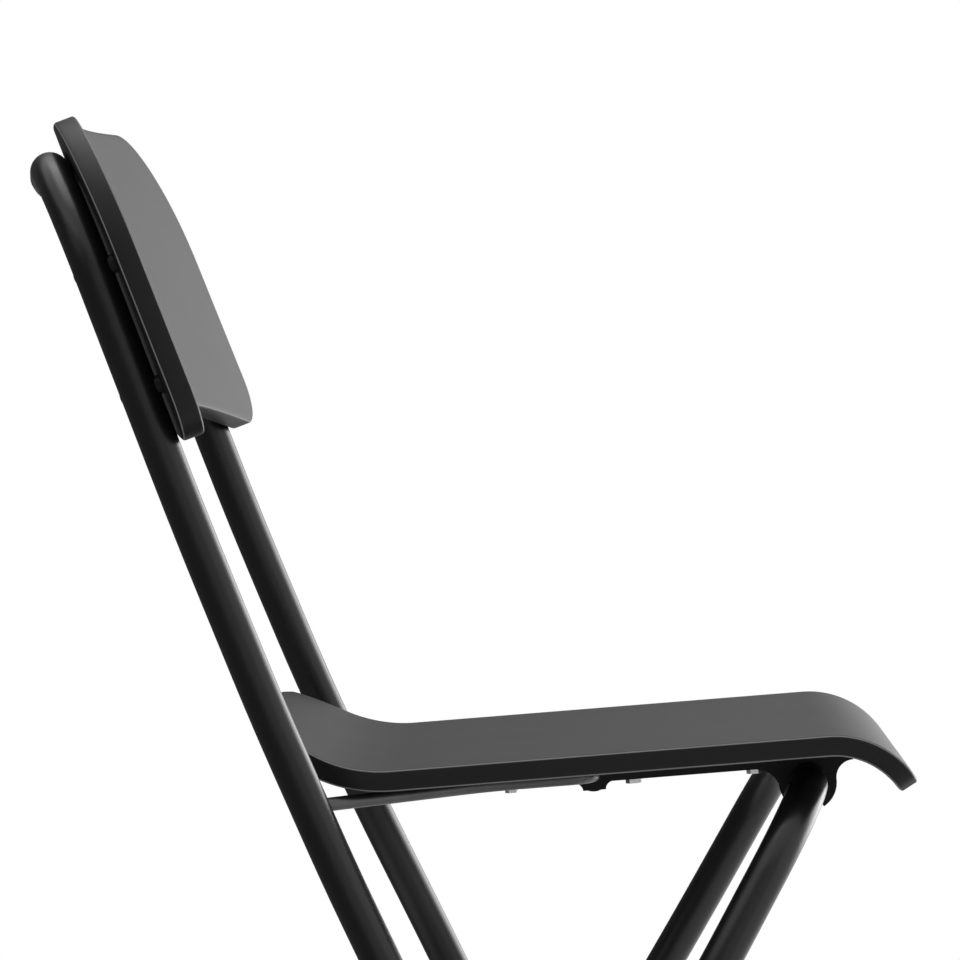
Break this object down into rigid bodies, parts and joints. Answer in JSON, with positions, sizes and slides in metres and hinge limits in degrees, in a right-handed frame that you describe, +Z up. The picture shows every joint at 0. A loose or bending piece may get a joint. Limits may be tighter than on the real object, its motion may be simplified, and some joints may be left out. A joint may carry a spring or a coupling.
{
  "type": "folding bar stool",
  "caption": "Folding bar stool with a backrest: crossed black tube frames, a moulded seat that tips up as the legs close, a bent stay under it and a curved back panel",
  "frame": {"origin": "on the floor, in the middle of the overall box of the open stool", "axes": "+X to the front, where the sitter's knees go; +Y to the sitter's left; +Z up"},
  "size_m": [0.4594, 0.484, 0.9434],
  "materials": {
    "frame_paint": "black powder coat, glossy",
    "seat_lacquer": "moulded plywood in satin black lacquer",
    "black_plastic": "moulded black plastic, fine grain",
    "dark_rod": "dark grey coated steel rod",
    "black_screw": "blackened steel screws",
    "zinc_steel": "zinc-plated steel",
    "brass": "plain brass"
  },
  "bodies": {
    "back_frame": {"back_frame_tube": "frame_paint", "footrest_bar": "frame_paint", "front_foot_left": "black_plastic", "front_foot_right": "black_plastic", "backrest_panel": "seat_lacquer", "backrest_screws": "black_screw", "backrest_inserts": "brass", "backrest_spacers": "black_plastic", "crossing_bolts": "black_screw", "crossing_washers": "zinc_steel", "crossing_nuts": "zinc_steel", "stay_bushes": "black_plastic"},
    "rear_frame": {"rear_frame_tube": "frame_paint", "rear_crossbar": "frame_paint", "rear_foot_left": "black_plastic", "rear_foot_right": "black_plastic", "crossing_spacers": "black_plastic"},
    "seat": {"seat_panel": "seat_lacquer", "seat_bracket_left": "black_plastic", "seat_bracket_right": "black_plastic", "bracket_screws": "zinc_steel", "seat_inserts": "brass"},
    "stay": {"folding_stay": "dark_rod"}
  },
  "joints": [
    {"name": "leg_fold", "type": "hinge", "parent": "back_frame", "child": "rear_frame", "pos_m": [0.03905, 0, 0.359], "axis": [0, -1, 0], "range_deg": [0, 38]},
    {"name": "seat_fold", "type": "hinge", "parent": "rear_frame", "child": "seat", "pos_m": [0.17585, 0, 0.6017], "axis": [0, 1, 0], "range_deg": [0, 103]},
    {"name": "stay_fold", "type": "hinge", "parent": "seat", "child": "stay", "pos_m": [0.06567, 0, 0.6057], "axis": [0, -1, 0], "range_deg": [0, 138]}
  ],
  "couplings": [
    {"joint": "seat_fold", "follows": "leg_fold", "ratio": 2.7105},
    {"joint": "stay_fold", "follows": "leg_fold", "ratio": 3.6315}
  ]
}
